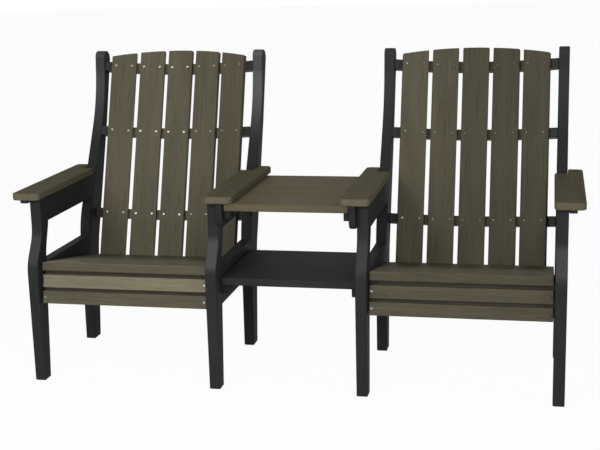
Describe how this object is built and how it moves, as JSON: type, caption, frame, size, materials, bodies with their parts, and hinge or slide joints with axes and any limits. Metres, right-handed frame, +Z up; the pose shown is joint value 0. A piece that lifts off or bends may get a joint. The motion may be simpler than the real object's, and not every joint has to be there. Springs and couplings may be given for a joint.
{
  "type": "companion seat bench",
  "caption": "Two high-backed slatted porch chairs with wide arms, joined side by side by a small table and a lower shelf.",
  "frame": {"origin": "on the ground at the middle of the bench's footprint", "axes": "+Z up, +X from the left chair to the right one as seen from the front, +Y to the back"},
  "size_m": [1.8376, 0.7988, 1.039],
  "materials": {
    "black_lumber": "black moulded plastic lumber with a fine brushed grain and eased edges",
    "weathered_lumber": "brown-grey plastic lumber embossed with a weathered wood grain",
    "screw_steel": "plain stainless pan-head screws"
  },
  "bodies": {
    "root": {"front_leg_left_outer": "black_lumber", "back_leg_left_outer": "black_lumber", "seat_side_rail_left_outer": "black_lumber", "under_arm_rail_left_outer": "black_lumber", "armrest_left_outer": "weathered_lumber", "seat_stringer_left_outer": "black_lumber", "front_leg_left_inner": "black_lumber", "back_leg_left_inner": "black_lumber", "seat_side_rail_left_inner": "black_lumber", "under_arm_rail_left_inner": "black_lumber", "armrest_left_inner": "weathered_lumber", "seat_stringer_left_inner": "black_lumber", "seat_apron_left": "black_lumber", "outer_arm_cleat_left": "black_lumber", "back_rail_left_low": "black_lumber", "back_rail_left_mid": "black_lumber", "back_rail_left_top": "black_lumber", "back_slat_left_1": "weathered_lumber", "back_slat_left_2": "weathered_lumber", "back_slat_left_3": "weathered_lumber", "back_slat_left_4": "weathered_lumber", "back_slat_left_5": "weathered_lumber", "seat_slats_left": "weathered_lumber", "fascia_slat_left_upper": "weathered_lumber", "fascia_slat_left_lower": "weathered_lumber", "table_support_left": "black_lumber", "table_cleat_left": "black_lumber", "shelf_cleat_left": "black_lumber", "front_leg_right_outer": "black_lumber", "back_leg_right_outer": "black_lumber", "seat_side_rail_right_outer": "black_lumber", "under_arm_rail_right_outer": "black_lumber", "armrest_right_outer": "weathered_lumber", "seat_stringer_right_outer": "black_lumber", "front_leg_right_inner": "black_lumber", "back_leg_right_inner": "black_lumber", "seat_side_rail_right_inner": "black_lumber", "under_arm_rail_right_inner": "black_lumber", "armrest_right_inner": "weathered_lumber", "seat_stringer_right_inner": "black_lumber", "seat_apron_right": "black_lumber", "outer_arm_cleat_right": "black_lumber", "back_rail_right_low": "black_lumber", "back_rail_right_mid": "black_lumber", "back_rail_right_top": "black_lumber", "back_slat_right_1": "weathered_lumber", "back_slat_right_2": "weathered_lumber", "back_slat_right_3": "weathered_lumber", "back_slat_right_4": "weathered_lumber", "back_slat_right_5": "weathered_lumber", "seat_slats_right": "weathered_lumber", "fascia_slat_right_upper": "weathered_lumber", "fascia_slat_right_lower": "weathered_lumber", "table_support_right": "black_lumber", "table_cleat_right": "black_lumber", "shelf_cleat_right": "black_lumber", "table_top": "weathered_lumber", "shelf": "black_lumber", "back_slat_screws": "screw_steel", "fascia_screws": "screw_steel"}
  },
  "joints": []
}
